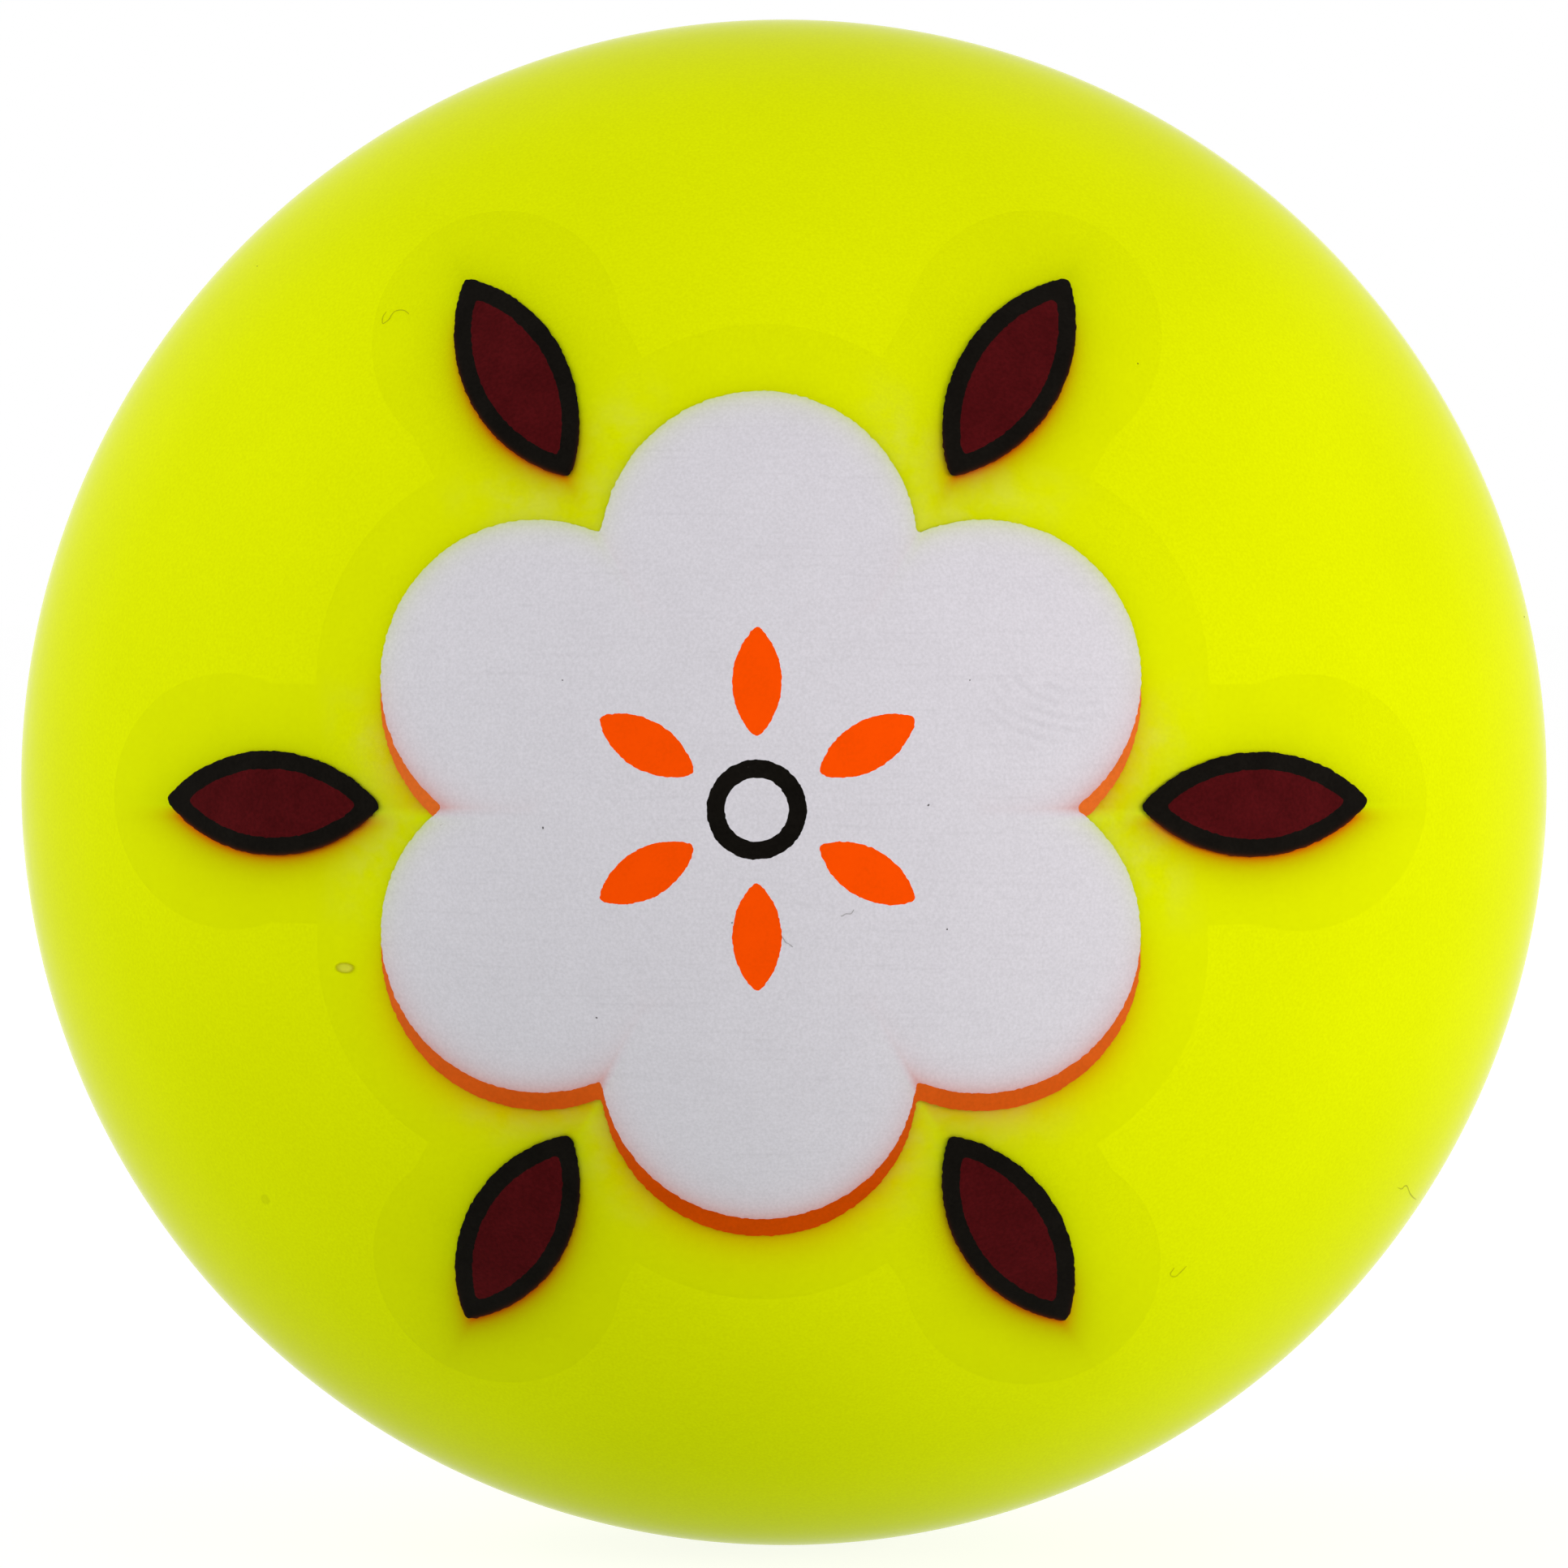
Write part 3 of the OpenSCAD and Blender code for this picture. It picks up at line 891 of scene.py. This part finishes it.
class HOCKEY_OT_field(bpy.types.Operator):
    """Prints the lobed white field and the deep orange edge dropped below it"""
    bl_idname = "hockey.field"
    bl_label = "White Field and Orange Edge"

    def execute(self, context):
        inks, drawing = settings()[2], Drawing(settings()[1])
        field = drawing.field()
        low = [(x, z - drawing.drop) for x, z in field]
        rings = [circle(0, 0, drawing.ring_d / 2 - inset) for inset in (0.0, drawing.line_w)]
        petal = pointed(drawing.petal_l, drawing.petal_w)
        petals = [turned(petal, a, drawing.petal_ring_r) for a in drawing.turns]
        points, found = triangles([field, low, *rings, *petals], FILL_STEP)
        # Outline 0 is the field, 1 the dropped field, 2 and 3 the ring, and the petals come after them
        in_petal = set(range(4, 4 + len(petals)))
        white = [c for c, held in found if 0 in held and not held & in_petal and (2 not in held or 3 in held)]
        orange = [c for c, held in found if 1 in held and 0 not in held]
        bleed = (("Field", 0.0, 0.37, 0.5, "#C6DC00", -1), ("Field", 0.0, 0.45, 0.48, "#D04C10", 1))
        white_ink = ink("Screen_ink_white", inks.white, ((2.2, 0.985, 1.01), (0.13, 0.93, 1.06)), bleed,
                        handled=True)
        orange_ink = ink("Screen_ink_deep_orange", inks.deep_orange, ((1.5, 0.95, 1.05), (0.16, 0.94, 1.06)),
                         thin=inks.painted_lit_orange)
        for name, corners, slot, node, finish in (
                ("White_field", white, "white_ink", "white_field", white_ink),
                ("Orange_edge", orange, "deep_orange_ink", "orange_edge", orange_ink)):
            print_ink(name, slot, node, drawing, [(points, corners, True)], 0, 0, finish)
        return {"FINISHED"}


class HOCKEY_OT_flower(bpy.types.Operator):
    """Prints the bright orange petals in the middle"""
    bl_idname = "hockey.flower"
    bl_label = "Petals"

    def execute(self, context):
        inks, drawing = settings()[2], Drawing(settings()[1])
        points, found = triangles([pointed(drawing.petal_l, drawing.petal_w)], FILL_STEP)
        finish = ink("Screen_ink_bright_orange", inks.bright_orange, ((1.5, 0.97, 1.03), (0.16, 0.97, 1.03)))
        print_ink("Orange_petals", "bright_orange_ink", "orange_petals", drawing,
                  [(points, [c for c, _ in found], False)], drawing.petal_ring_r, 0.0, finish)
        return {"FINISHED"}


class HOCKEY_OT_leaves(bpy.types.Operator):
    """Prints the maroon leaves between the lobes"""
    bl_idname = "hockey.leaves"
    bl_label = "Leaves"

    def execute(self, context):
        inks, drawing = settings()[2], Drawing(settings()[1])
        points, found = triangles([pointed(drawing.leaf_l, drawing.leaf_w)], FILL_STEP)
        finish = ink("Screen_ink_maroon", inks.maroon, ((1.5, 0.88, 1.12), (0.16, 0.82, 1.2)))
        print_ink("Maroon_leaves", "maroon_ink", "maroon_leaves", drawing,
                  [(points, [c for c, _ in found], False)], drawing.leaf_ring_r, 0.5, finish)
        return {"FINISHED"}


class HOCKEY_OT_lines(bpy.types.Operator):
    """Prints the black ring in the middle and the black line round each leaf"""
    bl_idname = "hockey.lines"
    bl_label = "Black Lines"

    def execute(self, context):
        inks, drawing = settings()[2], Drawing(settings()[1])
        rings = [circle(0, 0, drawing.ring_d / 2 - inset) for inset in (0.0, drawing.line_w)]
        leaves = [pointed(drawing.leaf_l, drawing.leaf_w, grow) for grow in (drawing.line_w, 0.0)]
        slabs = []
        for outlines, stays in ((rings, True), (leaves, False)):
            points, found = triangles(outlines, FILL_STEP)
            slabs.append((points, [c for c, held in found if 1 not in held], stays))
        finish = ink("Screen_ink_black", inks.black, ((1.5, 0.85, 1.15), (0.16, 0.82, 1.2)),
                     (("Leaf", drawing.line_w, 0.05, 0.8, "#6A2C08", 1),))
        print_ink("Black_lines", "black_ink", "black_lines", drawing, slabs, drawing.leaf_ring_r, 0.5, finish)
        return {"FINISHED"}


def seen_at(pixel, radius):
    """Where the camera sees a pixel of the 1932 x 1932 frame on a sphere about the ball's middle."""
    camera = bpy.context.scene.camera
    per_pixel = camera.data.sensor_width / camera.data.lens / FRAME_PIXELS
    right, down = ((n - FRAME_PIXELS / 2) * per_pixel for n in pixel)
    ray = camera.rotation_quaternion @ Vector((right, -down, -1))
    ray.normalize()
    near = -camera.location.dot(ray)
    reach = near - math.sqrt(radius ** 2 - camera.location.length_squared + near ** 2)
    return camera.location + ray * reach


def lint_tree():
    """Draws a fine round fibre along each chain of edges, thinner towards its ends."""
    points, taper_share, tip = 28, 0.12, 0.45
    tree, start, end = geometry_tree("Lint", ("Thickness", "NodeSocketFloat"))
    curve = add_node(tree, "GeometryNodeMeshToCurve", {0: start.outputs["Geometry"]})
    spline = add_node(tree, "GeometryNodeCurveSplineType", {0: curve}, spline_type="CATMULL_ROM")
    even = add_node(tree, "GeometryNodeResampleCurve", {"Curve": spline, "Count": points})
    along = add_node(tree, "GeometryNodeSplineParameter")
    taper = add_node(tree, "ShaderNodeMath", {0: along.outputs["Factor"], 1: 0.5}, operation="PINGPONG")
    thick = add_node(tree, "ShaderNodeMapRange", {0: taper, 1: 0.0, 2: taper_share, 3: tip, 4: 1.0})
    sized = add_node(tree, "GeometryNodeSetCurveRadius", {"Curve": even, "Radius": thick})
    half = add_node(tree, "ShaderNodeMath", {0: start.outputs["Thickness"], 1: 0.5}, operation="MULTIPLY")
    profile = add_node(tree, "GeometryNodeCurvePrimitiveCircle", {"Resolution": 6, "Radius": half},
                       mode="RADIUS")
    tube = add_node(tree, "GeometryNodeCurveToMesh", {
        "Curve": sized, "Profile Curve": profile, "Fill Caps": True, "Scale": thick})
    smooth = add_node(tree, "GeometryNodeSetShadeSmooth", {0: tube})
    real = add_node(tree, "GeometryNodeRealizeInstances", {0: smooth})
    return close_tree(tree, start, end, real)


def speck_tree():
    """Puts a small flat grain on each point, lying on the ball, turned and stretched at random."""
    tree, start, end = geometry_tree("Specks", ("Seed", "NodeSocketInt"))
    place = add_node(tree, "GeometryNodeInputPosition")
    size = add_node(tree, "GeometryNodeInputNamedAttribute", {"Name": "size"}, data_type="FLOAT")
    upright = add_node(tree, "FunctionNodeAlignRotationToVector", {"Vector": place}, axis="Z")
    turn = add_node(tree, "FunctionNodeRandomValue", {"Max": (0, 0, math.tau), "Seed": start.outputs["Seed"]},
                    data_type="FLOAT_VECTOR")
    turned_now = add_node(tree, "FunctionNodeRotateRotation",
                          {0: upright, 1: turn.outputs["Value"]}, rotation_space="LOCAL")
    long = add_node(tree, "FunctionNodeRandomValue",
                    {"Min": (0.7, 0.4, 0.3), "Max": (1.0, 0.75, 0.4), "Seed": start.outputs["Seed"]},
                    data_type="FLOAT_VECTOR")
    scale = add_node(tree, "ShaderNodeVectorMath",
                     {0: long.outputs["Value"], "Scale": size.outputs["Attribute"]}, operation="SCALE")
    grain = add_node(tree, "GeometryNodeMeshIcoSphere", {"Radius": 0.5, "Subdivisions": 2})
    copies = add_node(tree, "GeometryNodeInstanceOnPoints", {
        "Points": start.outputs["Geometry"], "Instance": grain, "Rotation": turned_now, "Scale": scale})
    real = add_node(tree, "GeometryNodeRealizeInstances", {0: copies})
    return close_tree(tree, start, end, real)


class HOCKEY_OT_marks(bpy.types.Operator):
    """Adds the lint, the specks of dust and the blister trapped under the film"""
    bl_idname = "hockey.marks"
    bl_label = "Lint, Specks and Blister"

    # Where the picture shows each fibre, in pixels of its frame, with the radius of the layer that it lies on
    LINT = (
        (BALL_R, ((504, 387), (499, 383), (493, 382), (486, 384), (482, 389), (479, 394), (475, 397),
                  (472, 399), (471, 396), (472, 390), (476, 384))),
        (BALL_R, ((1722, 1463), (1727, 1465), (1731, 1461), (1734, 1462), (1737, 1470), (1741, 1475),
                  (1745, 1478))),
        (BALL_R, ((1462, 1560), (1458, 1564), (1453, 1569), (1448, 1573), (1443, 1572), (1442, 1569),
                  (1444, 1566), (1447, 1562))),
        (FILM_R, ((1299, 1329), (1302, 1327), (1305, 1326), (1308, 1325), (1311, 1323), (1314, 1317))),
        (INK_R, ((1036, 1129), (1039, 1128), (1042, 1126), (1048, 1126), (1050, 1124), (1052, 1121))),
        (INK_R, ((962, 1153), (965, 1156), (968, 1161), (972, 1163), (977, 1167))),
    )
    LINT_WIDE = 0.045 * MM
    LINT_UP = 0.2 * LINT_WIDE  # how far a fibre's middle line lies above its layer
    # Specks: pixel, size across in mm, and the layer
    SPECKS = (
        ((669, 1020), 0.14, INK_R), ((1167, 1145), 0.12, INK_R), ((1144, 992), 0.12, INK_R),
        ((735, 1254), 0.12, INK_R), ((902, 1137), 0.1, INK_R), ((922, 945), 0.1, INK_R),
        ((693, 838), 0.1, INK_R), ((1195, 838), 0.1, INK_R), ((1061, 529), 0.1, FILM_R),
        ((1402, 448), 0.12, BALL_R), ((317, 328), 0.12, BALL_R), ((1288, 1508), 0.1, BALL_R),
        ((1878, 760), 0.12, BALL_R),
    )
    # Blister: middle and half sizes on the flat print, and height, in mm
    BLISTER = (-18.6, -7.3, 0.5, 0.27, 0.05)

    def execute(self, context):
        self.add_lint()
        self.add_specks()
        self.add_blister()
        return {"FINISHED"}

    def add_lint(self):
        """A fibre along each chain of pixels."""
        verts, edges = [], []
        for radius, pixels in self.LINT:
            edges += [(len(verts) + i, len(verts) + i + 1) for i in range(len(pixels) - 1)]
            verts += [seen_at(pixel, radius + self.LINT_UP) for pixel in pixels]
        mesh = bpy.data.meshes.new("Lint")
        mesh.from_pydata(verts, edges, [])
        lint = new_object("Lint", mesh)
        run_tree(lint, lint_tree(),
                 {"Thickness": self.LINT_WIDE, "Material": fibre("Dark_lint", "#4C4A2C", 0.3)})
        keep(lint, "ball_plastic")

    def add_specks(self):
        """A grain of dust at each pixel."""
        mesh = bpy.data.meshes.new("Specks")
        mesh.from_pydata([seen_at(pixel, radius) for pixel, _, radius in self.SPECKS], [], [])
        sizes = mesh.attributes.new("size", "FLOAT", "POINT")
        sizes.data.foreach_set("value", [size * MM for _, size, _ in self.SPECKS])
        specks = new_object("Specks", mesh)
        run_tree(specks, speck_tree(), {"Seed": 3, "Material": fibre("Dark_dust", "#35332E", 0.85)})
        keep(specks, "ball_plastic")

    def add_blister(self):
        """An oval dome, steepest at its rim, made of rings of faces with a flat underside."""
        x, z, half_x, half_z, height = self.BLISTER
        rings, spokes = 6, 32
        part = FlatPart()
        part.verts = [(x * MM, -height * MM, z * MM)]
        for ring in range(1, rings + 1):
            share = ring / rings
            for i in range(spokes):
                angle = math.tau * i / spokes
                part.verts.append(((x + half_x * share * math.cos(angle)) * MM,
                                   -height * MM * (1 - share ** 4),
                                   (z + half_z * share * math.sin(angle)) * MM))
        part.faces = [(0, 1 + i, 1 + (i + 1) % spokes) for i in range(spokes)]
        for ring in range(rings - 1):
            low, high = 1 + ring * spokes, 1 + (ring + 1) * spokes
            part.faces += [(low + i, high + i, high + (i + 1) % spokes, low + (i + 1) % spokes)
                           for i in range(spokes)]
        part.faces.append([1 + (rings - 1) * spokes + i for i in reversed(range(spokes))])
        part.stays = [True] * len(part.faces)
        finish = trapped_air(x, z, half_x, half_z)
        drawing = Drawing(settings()[1])
        keep(lay(part, "Blister", drawing, 0, 0, FILM_R, False, finish), "clear_film")


BUILD_ORDER = (HOCKEY_OT_stage, HOCKEY_OT_ball, HOCKEY_OT_film, HOCKEY_OT_field, HOCKEY_OT_flower,
               HOCKEY_OT_leaves, HOCKEY_OT_lines, HOCKEY_OT_marks)


class HOCKEY_PT_panel(bpy.types.Panel):
    """Settings and buttons for the hockey ball"""
    bl_idname = "HOCKEY_PT_panel"
    bl_label = "Hockey Ball"
    bl_space_type = "VIEW_3D"
    bl_region_type = "UI"
    bl_category = "Hockey Ball"

    def draw(self, context):
        for group in settings():
            box = self.layout.box()
            for name in group.bl_rna.properties.keys():
                if name not in ("rna_type", "name"):
                    box.prop(group, name)
        for operator in BUILD_ORDER:
            self.layout.operator(operator.bl_idname)


GROUPS = {"hockey_ball": BallSettings, "hockey_print": PrintSettings, "hockey_inks": InkSettings,
          "hockey_stage": StageSettings}


def register():
    for cls in (*GROUPS.values(), *BUILD_ORDER, HOCKEY_PT_panel):
        bpy.utils.register_class(cls)
    for name, cls in GROUPS.items():
        setattr(bpy.types.Scene, name, PointerProperty(type=cls))


def unregister():
    for name in GROUPS:
        delattr(bpy.types.Scene, name)
    for cls in (HOCKEY_PT_panel, *reversed(BUILD_ORDER), *GROUPS.values()):
        bpy.utils.unregister_class(cls)


def main():
    """Registers the add-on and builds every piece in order."""
    register()
    for operator in BUILD_ORDER:
        group, name = operator.bl_idname.split(".")
        getattr(getattr(bpy.ops, group), name)()


if __name__ == "__main__":
    main()
